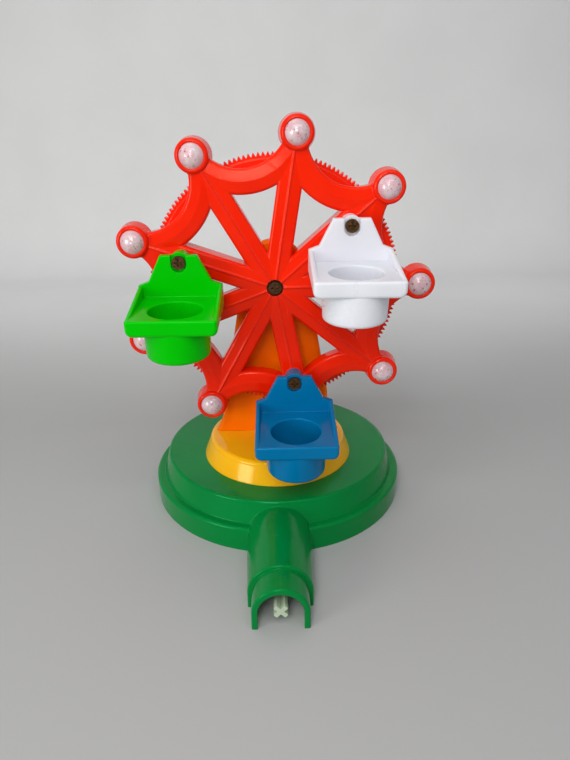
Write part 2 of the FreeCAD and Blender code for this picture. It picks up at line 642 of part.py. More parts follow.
def make_tower_shell():
    outside = new_body("shell_outside")
    foot = [("0", "drum_top"), ("foot_low_radius", "drum_top"),
            ("foot_top_radius", "foot_top - foot_rounding"),
            ("foot_top_radius - foot_rounding", "foot_top", "foot_top_radius - foot_rounding",
             "foot_top - foot_rounding", "left")]
    spin(outside, half_profile(outside, "shell_profile", "0", foot))
    inside = new_body("shell_inside")
    spin(inside, half_profile(inside, "column_hollow", "tower_wall", None))
    hollow = new_body("foot_hollow")
    steps = [("0", "drum_top - overcut"), ("foot_low_radius - tower_wall", "drum_top - overcut"),
             ("foot_low_radius - tower_wall", "drum_top"),
             ("foot_top_radius - tower_wall", FOOT_UNDER), ("0", FOOT_UNDER)]
    spin(hollow, outline(hollow, "foot_hollow_profile", "XZ_Plane", "face_forward", steps))
    half = "tongue_half_width + seat_gap"
    levels = (f"{FOOT_UNDER} - overcut", "foot_top + overcut")
    slot = block("tongue_slot", f"-({half})", half, f"{SEAM} - overcut", "face_forward + seat_gap", *levels)
    throat = doc.addObject("Part::Common", "foot_throat")
    throat.Base = upright("throat_round", f"{column_steps('tower_wall')['low']} - tower_wall / 2", *levels,
                          "0", "face_forward")
    throat.Tool = block("throat_half", "-base_radius", "base_radius", "-base_radius", SEAM, *levels)
    wells = [rod(f"well_{index}", "well_radius", "-base_radius", WELL_FLOOR, across, height)
             for index, (across, height) in enumerate(BACK_POSTS)]
    floor_rods = [upright(f"foot_post_{index}", "post_radius", "base_step", "foot_top", across, forward)
                  for index, (across, forward) in enumerate(FOOT_SPOTS)]
    space = cut("shell_space", fuse("shell_hollows", [inside, hollow, throat, slot]), wells + floor_rods)
    front = block("shell_front", "-base_radius", "base_radius", SEAM, "base_radius", "foot_top",
                  "crown_height + crown_radius + overcut")
    below = block("shell_below", "-base_radius", "base_radius", "-base_radius", "base_radius",
                  "base_step", "drum_top")
    holes = [rod(f"well_hole_{index}", "screw_shank + running_gap", "-base_radius", SEAM, across, height)
             for index, (across, height) in enumerate(BACK_POSTS)]
    mouths = [rod(f"well_mouth_{index}", "small_head + head_gap", "-base_radius", WELL_SEAT, across, height)
              for index, (across, height) in enumerate(BACK_POSTS)]
    pilots = [upright(f"foot_pilot_{index}", "screw_shank + seat_gap", "drum_top - overcut",
                      "drum_top + short_screw_length", across, forward)
              for index, (across, forward) in enumerate(FOOT_SPOTS)]
    keep("tower_shell", cut("shell", outside, [space, front, below] + holes + mouths + pilots))


def make_tower_front():
    body = new_body("front_body")
    pad(body, full_outline(body, "front_outline", SEAM, "0", "foot_top"), "tower_wall")
    tongue = rectangle(body, "front_tongue", "XZ_Plane", SEAM, "-tongue_half_width", "tongue_half_width",
                       "drum_top + end_play", "foot_top + overcut")
    pad(body, tongue, "tower_wall")
    posts = [(across, height, "plate_post_radius") for across, height in PLATE_POSTS]
    root = f"{SEAM} + tower_wall / 4"
    pad(body, circles(body, "plate_posts", "XZ_Plane", "-plate_front", posts), f"plate_front + {root}")
    posts = [(across, height, "back_post_radius") for across, height in BACK_POSTS]
    pad(body, circles(body, "back_posts", "XZ_Plane", WELL_FLOOR, posts), f"{root} - {WELL_FLOOR}")
    pins = [("0", IDLER_Z, "post_radius"), ("0", PINION_Z, "seat_boss")]
    bearing_back = "(train_width - train_back + end_play)"
    pad(body, circles(body, "pin_bosses", "XZ_Plane", bearing_back, pins), f"{root} - {bearing_back}")
    post = circles(body, "hub_post", "XZ_Plane", "0", [("0", HUB_Z, "hub_post_radius")])
    pad(body, post, "hub_recess_floor + running_gap")
    collar = circles(body, "hub_post_foot", "XZ_Plane", "0", [("0", HUB_Z, "hub_boss + tower_wall")])
    pad(body, collar, root)
    pilots = [(across, height, "screw_shank + seat_gap") for across, height in PLATE_POSTS]
    depth = "short_screw_length + overcut"
    pocket(body, circles(body, "plate_pilots", "XZ_Plane", "-plate_front", pilots), depth, True)
    pilots = [(across, height, "screw_shank + seat_gap") for across, height in BACK_POSTS]
    pocket(body, circles(body, "back_pilots", "XZ_Plane", WELL_FLOOR, pilots), depth, True)
    pilot = circles(body, "hub_pilot", "XZ_Plane", "hub_recess_floor + overcut",
                    [("0", HUB_Z, "screw_shank + seat_gap")])
    pocket(body, pilot, "screw_length + 2 * overcut")
    hole = circles(body, "pinion_bearing", "XZ_Plane", "face_forward",
                   [("0", PINION_Z, "pin_radius + running_gap")])
    pocket(body, hole, f"face_forward - {bearing_back}")
    hole = circles(body, "idler_socket", "XZ_Plane", bearing_back, [("0", IDLER_Z, "pin_radius + seat_gap")])
    pocket(body, hole, f"face_forward - 1 - {bearing_back}", True)
    round_edges(body, "front_rounding", "tower_rounding", on_front_rim)
    keep("tower_front", body)


def on_front_rim(box):
    """The edges round the tower's flat front face, without its straight lower end."""
    outer = max(abs(box.XMin), abs(box.XMax)) > size("crown_radius") - size("tower_wall")
    above = box.ZMax > size("foot_top") + size("overcut")
    return outer and above and lies_at(box.YMin, box.YMax, -size("face_forward"))


def make_gear_plate():
    body = new_body("plate_body")
    back = f"-{PLATE_BACK}"
    right = [("plate_half_width", "plate_low"), ("plate_half_width", "plate_waist"),
             ("plate_neck_half", "plate_neck"), ("plate_neck_half", "plate_high")]
    left = [(f"-{across}", height) for across, height in reversed(right)]
    pad(body, outline(body, "plate_outline", "XZ_Plane", back, right + left), "plate_thickness")
    holes = [(across, height, "screw_shank + running_gap") for across, height in PLATE_POSTS]
    holes += [("0", PINION_Z, "pin_radius + running_gap"), ("0", IDLER_Z, "pin_radius + seat_gap")]
    pocket(body, circles(body, "plate_holes", "XZ_Plane", "-plate_front", holes), "plate_thickness")
    keep("gear_plate", body)


def make_plate_screws():
    screws = [screw(f"plate_screw_{index}", "small_head", "small_head_height", "screw_shank",
                    "short_screw_length", across, f"-{PLATE_BACK}", height, "back")
              for index, (across, height) in enumerate(PLATE_POSTS)]
    keep("plate_screws", group("plate_screw_group", screws))


def make_back_screws():
    screws = [screw(f"back_screw_{index}", "small_head", "small_head_height", "screw_shank",
                    "short_screw_length", across, WELL_SEAT, height, "back")
              for index, (across, height) in enumerate(BACK_POSTS)]
    keep("back_screws", group("back_screw_group", screws))


# ---------------------------------------------------------------- gears

def gear_face(module, teeth, first_angle):
    """Flat involute gear in the XZ plane round the origin, with a tooth centred on first_angle (degrees)."""
    pressure = math.radians(size("pressure_angle"))
    pitch = module * teeth / 2
    base = pitch * math.cos(pressure)
    tip = pitch + module
    root = pitch - 1.25 * module
    half_at_pitch = (math.pi * module / 2 - size("backlash")) / (2 * pitch)
    involute = math.tan(pressure) - pressure
    flank = []
    start = max(base, root)
    levels = 5
    if root < base:
        flank.append((root, half_at_pitch + involute))
    for index in range(levels):
        radius = start + (tip - start) * index / (levels - 1)
        swing = math.acos(min(1.0, base / radius))
        flank.append((radius, half_at_pitch + involute - (math.tan(swing) - swing)))
    points = []
    for tooth in range(int(teeth)):
        middle = math.radians(first_angle) + 2 * math.pi * tooth / teeth
        points += [(radius, middle - half) for radius, half in flank]
        points += [(radius, middle + half) for radius, half in reversed(flank)]
    corners = [Vector(radius * math.cos(angle), 0, radius * math.sin(angle)) for radius, angle in points]
    return Part.Face(Part.makePolygon(corners + corners[:1]))


def toothed_disc(name, module, teeth, back, width, height, first_angle):
    """A gear blank that reaches forward from the distance called back."""
    shape = gear_face(number(module), number(teeth), first_angle).extrude(Vector(0, -number(width), 0))
    item = feature_of(name, shape)
    return place(item, "0", back, height)


def cross_bars(name, gap, back, front):
    """The drive shaft's cross section as two bars, grown by a gap."""
    bars = []
    for index, angle in enumerate((45, 135)):
        item = doc.addObject("Part::Box", f"{name}_{index}")
        item.setExpression("Length", bind(f"cross_across + 2 * {gap}"))
        item.setExpression("Width", bind(f"cross_arm + 2 * {gap}"))
        item.setExpression("Height", bind(f"({front}) - ({back})"))
        turn = FORWARD_TURN.multiply(FreeCAD.Rotation(Vector(0, 0, 1), angle))
        item.Placement = FreeCAD.Placement(Vector(), turn)
        half_length = f"(cross_across / 2 + {gap})"
        half_width = f"(cross_arm / 2 + {gap})"
        cosine, sine = f"cos({angle} * 1 deg)", f"sin({angle} * 1 deg)"
        across = f"-{half_length} * {cosine} + {half_width} * {sine}"
        height = f"axis_height - {half_length} * {sine} - {half_width} * {cosine}"
        bars.append(place(item, across, back, height))
    return fuse(name, bars)


TRAIN_BACK = "(-train_back)"


def make_drive_shaft():
    cross = cross_bars("cross", "0", "-shaft_back", "shaft_front")
    round_bar = rod("shaft_round", "cross_across / 2", "-shaft_back", "shaft_front", "0", "axis_height")
    item = doc.addObject("Part::Common", "shaft")
    item.Base = cross
    item.Tool = round_bar
    keep("drive_shaft", item)


def make_drive_gear():
    disc = toothed_disc("drive_disc", "train_module", "drive_teeth", TRAIN_BACK, "train_width",
                        "axis_height", 90)
    hub = rod("drive_hub", "hub_radius", "-plate_front", TRAIN_BACK, "0", "axis_height")
    bore = cross_bars("drive_bore", "seat_gap", f"-{PLATE_BACK}", "train_width")
    keep("drive_gear", cut("drive", fuse("drive_blank", [disc, hub]), [bore]))


def make_shaft_collars():
    spans = (("-rear_wall_back - end_play - collar_width", "-rear_wall_back - end_play"),
             ("web_front - web_thickness - end_play - collar_width", "web_front - web_thickness - end_play"))
    collars = []
    for index, (back, front) in enumerate(spans):
        ring = rod(f"collar_{index}_ring", "collar_radius", back, front, "0", "axis_height")
        bore = cross_bars(f"collar_{index}_bore", "seat_gap", f"{back} - overcut", f"{front} + overcut")
        collars.append(cut(f"collar_{index}", ring, [bore]))
    keep("shaft_collars", group("collar_group", collars))


def make_train_gear(name, teeth, height, first_angle, bore):
    """A train gear with a hub that reaches back towards the inner plate."""
    disc = toothed_disc(f"{name}_disc", "train_module", teeth, TRAIN_BACK, "train_width", height, first_angle)
    hub = rod(f"{name}_hub", "hub_radius", "-plate_front + end_play", TRAIN_BACK, "0", height)
    hole = rod(f"{name}_bore", bore, "-plate_front", "train_width", "0", height)
    keep(name, cut(f"{name}_cut", fuse(f"{name}_blank", [disc, hub]), [hole]))


def make_pinion():
    gap_on_top = 90 + 180 / size("pinion_teeth")
    disc = toothed_disc("pinion_disc", "fine_module", "pinion_teeth", RING_BACK, "ring_width - ring_step",
                        PINION_Z, gap_on_top)
    hole = rod("pinion_bore", "pin_radius + seat_gap", f"{RING_BACK} - overcut", "wheel_back + overcut", "0",
               PINION_Z)
    keep("pinion", cut("pinion_cut", disc, [hole]))


def make_pins():
    back = f"-{PLATE_BACK} - end_play"
    keep("pinion_shaft", rod("pinion_rod", "pin_radius", back, "wheel_back - ring_step", "0", PINION_Z))
    front = "face_forward - 1 - seat_gap"
    keep("idler_pin", rod("idler_rod", "pin_radius", back, front, "0", IDLER_Z))


SPOKE_OF_SEAT = (("seat_white", 1), ("seat_blue", 4), ("seat_green", 7))
RING_SCREW_SPOKES = (0, 3, 6)


def on_spoke(radius, index):
    """Place on a spoke, as expressions across and up."""
    angle = f"((wheel_phase - {index} * 360 / spoke_count) * 1 deg)"
    return f"({radius} * cos{angle})", f"({HUB_Z} + {radius} * sin{angle})"


def make_ring_gear():
    disc = toothed_disc("ring_disc", "fine_module", "ring_teeth", RING_BACK, "ring_width - ring_step",
                        HUB_Z, -90)
    face = rod("ring_face", "ring_step_radius", RING_BACK, "wheel_back", "0", HUB_Z)
    through = (f"{RING_BACK} - overcut", "wheel_back + overcut")
    inside = rod("ring_inside_cut", "ring_inside", *through, "0", HUB_Z)
    holes = []
    for index in RING_SCREW_SPOKES:
        across, height = on_spoke("ring_screw_circle", index)
        holes.append(rod(f"ring_hole_{index}", "screw_shank + running_gap", *through, across, height))
        holes.append(rod(f"ring_sink_{index}", "small_head + head_gap", f"{RING_BACK} - overcut",
                         f"{RING_BACK} + small_head_height + end_play", across, height))
    keep("ring_gear", cut("ring", fuse("ring_blank", [disc, face]), [inside] + holes))


def make_ring_screws():
    screws = []
    for index in RING_SCREW_SPOKES:
        across, height = on_spoke("ring_screw_circle", index)
        seat = f"{RING_BACK} + small_head_height + end_play"
        screws.append(screw(f"ring_screw_{index}", "small_head", "small_head_height", "screw_shank",
                            "short_screw_length", across, seat, height, "back"))
    keep("ring_screws", group("ring_screw_group", screws))


# ---------------------------------------------------------------- wheel

def face_of_outline(points, place_point):
    """Flat face inside points; a point of four numbers ends an arc and holds its middle first."""
    edges = []
    last = points[-1]
    for point in points:
        start, end = place_point(*last[-2:]), place_point(*point[-2:])
        if len(point) == 4:
            edges.append(Part.Arc(start, place_point(*point[:2]), end).toShape())
        else:
            edges.append(Part.makeLine(start, end))
        last = point
    return Part.Face(Part.Wire(edges))


def bar_section(half_width, wall, inner, middle=0):
    """Section (across, forward) of a spoke or band with rounded front edges; the inner one is its hollow."""
    back, edge, crest = size("wheel_back"), size("wheel_edge"), size("wheel_crest")
    low, high = middle - half_width, middle + half_width
    if inner:
        over, reach = size("overcut"), half_width - wall
        return [(middle - reach, back - over), (middle - reach, edge - wall), (middle, crest - wall),
                (middle + reach, edge - wall), (middle + reach, back - over)]
    rounding = size("edge_rounding")
    inset = rounding * (1 - math.sqrt(0.5))
    return [(low, back), (low, edge - rounding), (low + inset, edge - inset, low + rounding, edge),
            (middle, crest), (high - rounding, edge),
            (high - inset, edge - inset, high, edge - rounding), (high, back)]


def turned_face(points):
    """Flat face from points (radius, forward) in the plane X, -Y."""
    return face_of_outline(points, lambda radius, forward: Vector(radius, -forward, 0))


def bar_along_spoke(points, length):
    """A bar along +X from the hub, with a section (across, forward)."""
    face = face_of_outline(points, lambda across, forward: Vector(0, -forward, across))
    return face.extrude(Vector(length, 0, 0))


def spoke_solid(inner):
    """One spoke along +X in the wheel's own frame, hub at the origin, wheel plane XZ."""
    section = bar_section(size("spoke_half_width"), size("wheel_wall"), inner)
    return bar_along_spoke(section, size("knob_circle") - (size("wheel_wall") if inner else 0))


def skirt_solid(inner):
    """The deep part of a spoke that carries a seat, or its hollow."""
    wall, over = size("wheel_wall"), size("overcut")
    half = size("spoke_half_width") - (wall if inner else 0)
    back = size("skirt_back") - (over if inner else 0)
    length = size("ring_inside") - size("skirt_gap") - (wall if inner else 0)
    front = size("wheel_back") + over
    return bar_along_spoke([(-half, back), (-half, front), (half, front), (half, back)], length)


def bead_solid():
    """The thin rib along the middle of a spoke's front."""
    radius = size("bead_radius")
    forward = size("wheel_crest") + size("bead_rise") - radius
    start = size("hub_recess") / 2
    return Part.makeCylinder(radius, size("knob_circle") - start, Vector(start, -forward, 0), Vector(1, 0, 0))


def band_solid(inner):
    """One band, concentric with its scallop, symmetric about +X."""
    half = size("band_width") / 2
    points = bar_section(half, size("wheel_wall"), inner, size("scallop_radius") + half)
    sweep = band_sweep()
    turned = turned_face(points).revolve(Vector(), Vector(0, 1, 0), 2 * sweep)
    turned.rotate(Vector(), Vector(0, 1, 0), 180 - sweep)
    turned.translate(Vector(size("scallop_circle"), 0, 0))
    return turned


def band_sweep():
    """Half angle, seen from the scallop's centre, at which the middle of a band reaches the knobs."""
    half_step = math.pi / size("spoke_count")
    knob = (size("knob_circle") * math.cos(half_step), size("knob_circle") * math.sin(half_step))
    return math.degrees(math.atan2(knob[1], size("scallop_circle") - knob[0]))


def knob_solid(inner):
    """One knob on +X: a cup with a rounded rim and a ring groove, or its hollow."""
    radius, front, back = size("knob_radius"), size("knob_front"), size("wheel_back")
    wall = size("wheel_wall")
    if inner:
        low, high = back - size("overcut"), front - 2 * wall
        face = turned_face([(0, low), (radius - wall, low), (radius - wall, high), (0, high)])
    else:
        inside, floor = size("rim_inside"), front - size("groove_depth")
        rounding = radius - inside
        reach = rounding * math.sqrt(0.5)
        shoulder = front - rounding
        face = turned_face([(0, back), (size("knob_back_radius"), back), (radius, shoulder),
                            (inside + reach, shoulder + reach, inside, front),
                            (inside, floor), (0, floor)])
    turned = face.revolve(Vector(), Vector(0, 1, 0), 360)
    turned.translate(Vector(size("knob_circle"), 0, 0))
    return turned


def dome_solid():
    """The painted dome on the knob that lies on +X."""
    radius, height = size("dome_radius"), size("dome_height")
    floor = size("knob_front") - size("groove_depth")
    sphere = (radius ** 2 + height ** 2) / (2 * height)
    lean = math.asin(radius / sphere) / 2
    centre = floor + height - sphere
    middle = Vector(sphere * math.sin(lean), -(centre + sphere * math.cos(lean)), 0)
    edge, top, foot = Vector(radius, -floor, 0), Vector(0, -(floor + height), 0), Vector(0, -floor, 0)
    rim = Part.Arc(edge, middle, top).toShape()
    face = Part.Face(Part.Wire([rim, Part.makeLine(top, foot), Part.makeLine(foot, edge)]))
    turned = face.revolve(Vector(), Vector(0, 1, 0), 360)
    turned.translate(Vector(size("knob_circle"), 0, 0))
    return turned


def forward_rod(radius, back, front, reach):
    """A cylinder towards the viewer, from one forward distance to another, at a place on +X."""
    return Part.makeCylinder(radius, front - back, Vector(reach, -back, 0), Vector(0, -1, 0))


def around_wheel(shape, index, half_step=False):
    """A copy turned from +X to a spoke's direction, or to the middle between it and the next."""
    step = 360 / size("spoke_count")
    angle = size("wheel_phase") - step * (index + (0.5 if half_step else 0))
    turned = shape.copy()
    turned.rotate(Vector(), Vector(0, 1, 0), -angle)
    return turned


def make_wheel():
    count = int(size("spoke_count"))
    back, crest, wall = size("wheel_back"), size("wheel_crest"), size("wheel_wall")
    outer, inner = [], []
    for index in range(count):
        for pieces, hollow in ((outer, False), (inner, True)):
            pieces.append(around_wheel(spoke_solid(hollow), index))
            pieces.append(around_wheel(knob_solid(hollow), index))
            pieces.append(around_wheel(band_solid(hollow), index, True))
        outer.append(around_wheel(bead_solid(), index))
    for _, index in SPOKE_OF_SEAT:
        outer.append(around_wheel(skirt_solid(False), index))
        inner.append(around_wheel(skirt_solid(True), index))
    skin = outer[0].fuse(outer[1:])
    space = inner[0].fuse(inner[1:])
    shell = skin.cut(space)
    hub_end = size("face_forward") + size("end_play")
    bosses = [forward_rod(size("hub_boss"), hub_end, crest - wall / 2, 0)]
    over, post = size("overcut"), size("hub_post_radius") + size("running_gap")
    holes = [forward_rod(post, hub_end - over, crest + wall, 0),
             forward_rod(size("hub_recess"), size("hub_recess_floor"), crest + wall, 0)]
    shank = size("screw_shank") + size("seat_gap")
    for _, index in SPOKE_OF_SEAT:
        reach = size("pivot_circle")
        tip = size("notch_floor") + size("running_gap")
        foot = forward_rod(size("seat_post_foot"), back, size("seat_standoff"), reach)
        post = forward_rod(size("seat_post_radius"), back, tip, reach)
        hole = forward_rod(shank, tip - size("screw_length") - over, tip + over, reach)
        bosses += [around_wheel(foot, index), around_wheel(post, index)]
        holes.append(around_wheel(hole, index))
    for index in RING_SCREW_SPOKES:
        reach = size("ring_screw_circle")
        bosses.append(around_wheel(forward_rod(size("post_radius"), back, crest - wall, reach), index))
        hole = forward_rod(shank, back - over, back + size("short_screw_length"), reach)
        holes.append(around_wheel(hole, index))
    shell = shell.fuse(bosses).cut(holes[0].fuse(holes[1:])).removeSplitter()
    keep("wheel", place(feature_of("wheel_moulding", shell), "0", "0", HUB_Z))
    domes = Part.makeCompound([around_wheel(dome_solid(), index) for index in range(count)])
    keep("bulb_domes", place(feature_of("dome_group", domes), "0", "0", HUB_Z))


def make_hub_fasteners():
    ring = rod("washer_ring", "washer_radius", "hub_recess_floor + 2 * running_gap",
               "hub_recess_floor + 2 * running_gap + washer_thickness", "0", HUB_Z)
    hole = rod("washer_hole", "screw_shank + running_gap", "hub_recess_floor", "wheel_crest",
               "0", HUB_Z)
    keep("hub_washer", cut("washer", ring, [hole]))
    keep("hub_screw", screw("hub_screw_cut", "screw_head", "screw_head_height", "screw_shank", "screw_length",
                            "0", "hub_recess_floor + 2 * running_gap + washer_thickness", HUB_Z))


# ---------------------------------------------------------------- seats

def on_tray_front(box):
    """The sides and the underside of the tray's front face."""
    return lies_at(box.YMin, box.YMax, -size("seat_depth")) and box.ZMin < -size("seat_floor") - TOLERANCE


def on_tray_top(box):
    """The upper edge of the tray's front, with its corners, and the upper edges of its arms."""
    slanted = box.XLength < TOLERANCE and min(box.YLength, box.ZLength) > size("seat_wall")
    front = box.YMin < -size("seat_depth") + TOLERANCE and lies_at(box.ZMin, box.ZMax, -size("seat_floor"))
    return slanted or front


def on_back_plate(box):
    """The top and the slanted edges of the back plate's front face."""
    return lies_at(box.YMin, box.YMax, 0) and box.ZMin > -size("seat_neck") - TOLERANCE


def make_seat(name, index):
    """One seat: back plate, tray and cup in one moulding, leaning a little forward on its pivot."""
    body = new_body(f"{name}_body")
    edge = [("seat_top_half", "seat_top"), ("-seat_top_half", "seat_top"),
            ("-seat_neck_half", "-seat_neck"), ("-seat_half_width", "-seat_shoulder")]
    corner = [("-seat_half_width", "-seat_under + seat_corner"),
              ("-seat_half_width + seat_corner", "-seat_under", "-seat_half_width + seat_corner",
               "-seat_under + seat_corner", "left"),
              ("seat_half_width - seat_corner", "-seat_under"),
              ("seat_half_width", "-seat_under + seat_corner", "seat_half_width - seat_corner",
               "-seat_under + seat_corner", "left")]
    plate = edge + corner + [("seat_half_width", "-seat_shoulder"), ("seat_neck_half", "-seat_neck")]
    pad(body, outline(body, f"{name}_plate", "XZ_Plane", "-seat_plate", plate), "seat_plate")
    tray = [("-seat_half_width", "-seat_floor")] + corner + [("seat_half_width", "-seat_floor")]
    tray_sketch = outline(body, f"{name}_tray", "XZ_Plane", "-seat_plate / 2", tray)
    pad(body, tray_sketch, "seat_depth + seat_plate / 2")
    arm = [("0", "-seat_floor - seat_wall / 2"), ("0", "-seat_shoulder"),
           ("-seat_depth + seat_wall", "-seat_floor"),
           ("-seat_depth + seat_wall", "-seat_floor - seat_wall / 2")]
    for side, offset in (("left", "-seat_half_width"), ("right", "seat_half_width - seat_wall")):
        pad(body, outline(body, f"{name}_arm_{side}", "YZ_Plane", offset, arm), "seat_wall")
    round_edges(body, f"{name}_front_rounding", "min(front_rounding; 0.8 * seat_wall)", on_tray_front)
    round_edges(body, f"{name}_tray_rounding", "min(tray_rounding; 0.42 * seat_wall)", on_tray_top)
    round_edges(body, f"{name}_plate_rounding", "min(plate_rounding; 0.42 * seat_plate)", on_back_plate)
    under = rectangle(body, f"{name}_under", "XY_Plane", "-seat_under", "-seat_half_width + seat_corner",
                      "seat_half_width - seat_corner", "-seat_depth + seat_wall", "-seat_wall / 2")
    pocket(body, under, "seat_under - seat_floor - seat_wall", True)
    cup = [("0", "-cup_bottom"), ("cup_low_radius - cup_rounding", "-cup_bottom"),
           ("cup_low_radius", "-cup_bottom + cup_rounding", "cup_low_radius - cup_rounding",
            "-cup_bottom + cup_rounding", "left"),
           ("cup_top_radius", "-seat_under"), ("cup_top_radius", "-seat_floor - seat_wall / 2"),
           ("0", "-seat_floor - seat_wall / 2")]
    spin(body, outline(body, f"{name}_cup", "XZ_Plane", "cup_place", cup))
    inside_low = "cup_hole - (cup_top_radius - cup_low_radius)"
    inner_round = "(cup_rounding - seat_wall / 2)"
    hollow = [("0", "-cup_bottom + seat_wall"), (f"{inside_low} - {inner_round}", "-cup_bottom + seat_wall"),
              (inside_low, f"-cup_bottom + seat_wall + {inner_round}", f"{inside_low} - {inner_round}",
               f"-cup_bottom + seat_wall + {inner_round}", "left"),
              ("cup_hole", "-seat_floor - rim_rounding"),
              ("cup_hole + rim_rounding", "-seat_floor", "cup_hole + rim_rounding",
               "-seat_floor - rim_rounding", "right"),
              ("cup_hole + rim_rounding", "-seat_floor + seat_wall"), ("0", "-seat_floor + seat_wall")]
    spin(body, outline(body, f"{name}_hollow", "XZ_Plane", "cup_place", hollow), "Groove")
    across, height = on_spoke("pivot_circle", index)
    body.Placement = FreeCAD.Placement(Vector(), FreeCAD.Rotation(Vector(1, 0, 0), size("seat_lean")))
    body.setExpression("Placement.Rotation.Angle", bind("seat_lean * 1 deg"))
    place(body, across, "seat_front", height)
    boss = rod(f"{name}_boss", "seat_boss", "seat_standoff + 2 * running_gap", "notch_floor", across, height)
    bore = rod(f"{name}_bore", "seat_post_radius + running_gap", "seat_standoff", "seat_front", across,
               height)
    low_end = f"{height} - notch_drop"
    dish = rod(f"{name}_dish", "notch_half_width", "notch_floor", "seat_front + seat_plate", across, low_end)
    notch = block(f"{name}_notch", f"{across} - notch_half_width", f"{across} + notch_half_width",
                  "notch_floor", "seat_front + seat_plate", low_end, f"{height} + seat_top + seat_plate")
    keep(name, cut(f"{name}_cut", fuse(f"{name}_blank", [body, boss]), [bore, dish, notch]))


def make_seat_screws():
    screws = []
    for name, index in SPOKE_OF_SEAT:
        across, height = on_spoke("pivot_circle", index)
        screws.append(screw(f"{name}_screw", "screw_head", "screw_head_height", "screw_shank", "screw_length",
                            across, "notch_floor + running_gap", height))
    keep("seat_screws", group("seat_screw_group", screws))


# ---------------------------------------------------------------- build, check and write

make_base_shell()
make_base_cover()
make_cover_screws()
make_foot_screws()
make_tower_shell()
make_tower_front()
make_gear_plate()
make_plate_screws()
make_back_screws()
make_drive_shaft()
make_drive_gear()
make_shaft_collars()
half_idler_tooth = 180 / size("idler_teeth")
make_train_gear("idler_gear", "idler_teeth", IDLER_Z, 90 + half_idler_tooth, "pin_radius + running_gap")
make_train_gear("shaft_gear", "shaft_gear_teeth", PINION_Z, -90, "pin_radius + seat_gap")
make_pinion()
make_pins()
make_ring_gear()
make_ring_screws()
make_wheel()
make_hub_fasteners()
for seat_name, spoke in SPOKE_OF_SEAT:
    make_seat(seat_name, spoke)
make_seat_screws()

doc.recompute()

for item in doc.Objects:
    if "Invalid" in item.State or "Error" in item.State:
        raise RuntimeError(f"{item.Label} failed: {item.State}")
for name, item in nodes.items():
    if item.Shape.isNull() or not item.Shape.isValid() or not item.Shape.Solids:
        raise RuntimeError(f"{name} has no valid solid")
for name, item in nodes.items():
    item.Shape.exportStep(f"parts/{name}.step")
    print(name, len(item.Shape.Solids), round(item.Shape.Volume, 1))
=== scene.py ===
import math

import bpy
from mathutils import Matrix, Vector

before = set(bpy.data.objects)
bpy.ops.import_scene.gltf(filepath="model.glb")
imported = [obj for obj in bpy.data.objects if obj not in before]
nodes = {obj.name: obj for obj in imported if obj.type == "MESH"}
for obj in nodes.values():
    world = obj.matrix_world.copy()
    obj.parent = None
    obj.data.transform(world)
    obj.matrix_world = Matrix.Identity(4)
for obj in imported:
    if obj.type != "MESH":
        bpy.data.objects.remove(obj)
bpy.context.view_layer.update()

MM = 0.001
scene = bpy.context.scene


# ---------------------------------------------------------------- camera

# The camera of the photograph: place in millimetres, turns in degrees, focal length as a share of the
# picture's width, sensor in millimetres, clipping in metres.
CAMERA_AT = (-0.45, -254.97, 159.57)
CAMERA_YAW = 1.02
CAMERA_PITCH = 22.54
CAMERA_ROLL = -0.62
FOCAL_SHARE = 571.5 / 570
SENSOR_WIDTH = 36
CLIP_NEAR = 0.01
CLIP_FAR = 20


def add_camera():
    yaw, pitch, roll = (math.radians(v) for v in (CAMERA_YAW, CAMERA_PITCH, CAMERA_ROLL))
    forward = Vector((math.sin(yaw) * math.cos(pitch), math.cos(yaw) * math.cos(pitch), -math.sin(pitch)))
    level = Vector((math.cos(yaw), -math.sin(yaw), 0))
    upright = level.cross(forward)
    right = math.cos(roll) * level + math.sin(roll) * upright
    up = -math.sin(roll) * level + math.cos(roll) * upright
    data = bpy.data.cameras.new("camera")
    data.sensor_fit = "HORIZONTAL"
    data.sensor_width = SENSOR_WIDTH
    data.lens = SENSOR_WIDTH * FOCAL_SHARE
    data.clip_start = CLIP_NEAR
    data.clip_end = CLIP_FAR
    camera = bpy.data.objects.new("camera", data)
    scene.collection.objects.link(camera)
    turn = Matrix((right, up, -forward)).transposed().to_4x4()
    camera.matrix_world = Matrix.Translation(Vector(CAMERA_AT) * MM) @ turn
    scene.camera = camera


# ---------------------------------------------------------------- node helpers

PLASTIC_IOR = 1.5


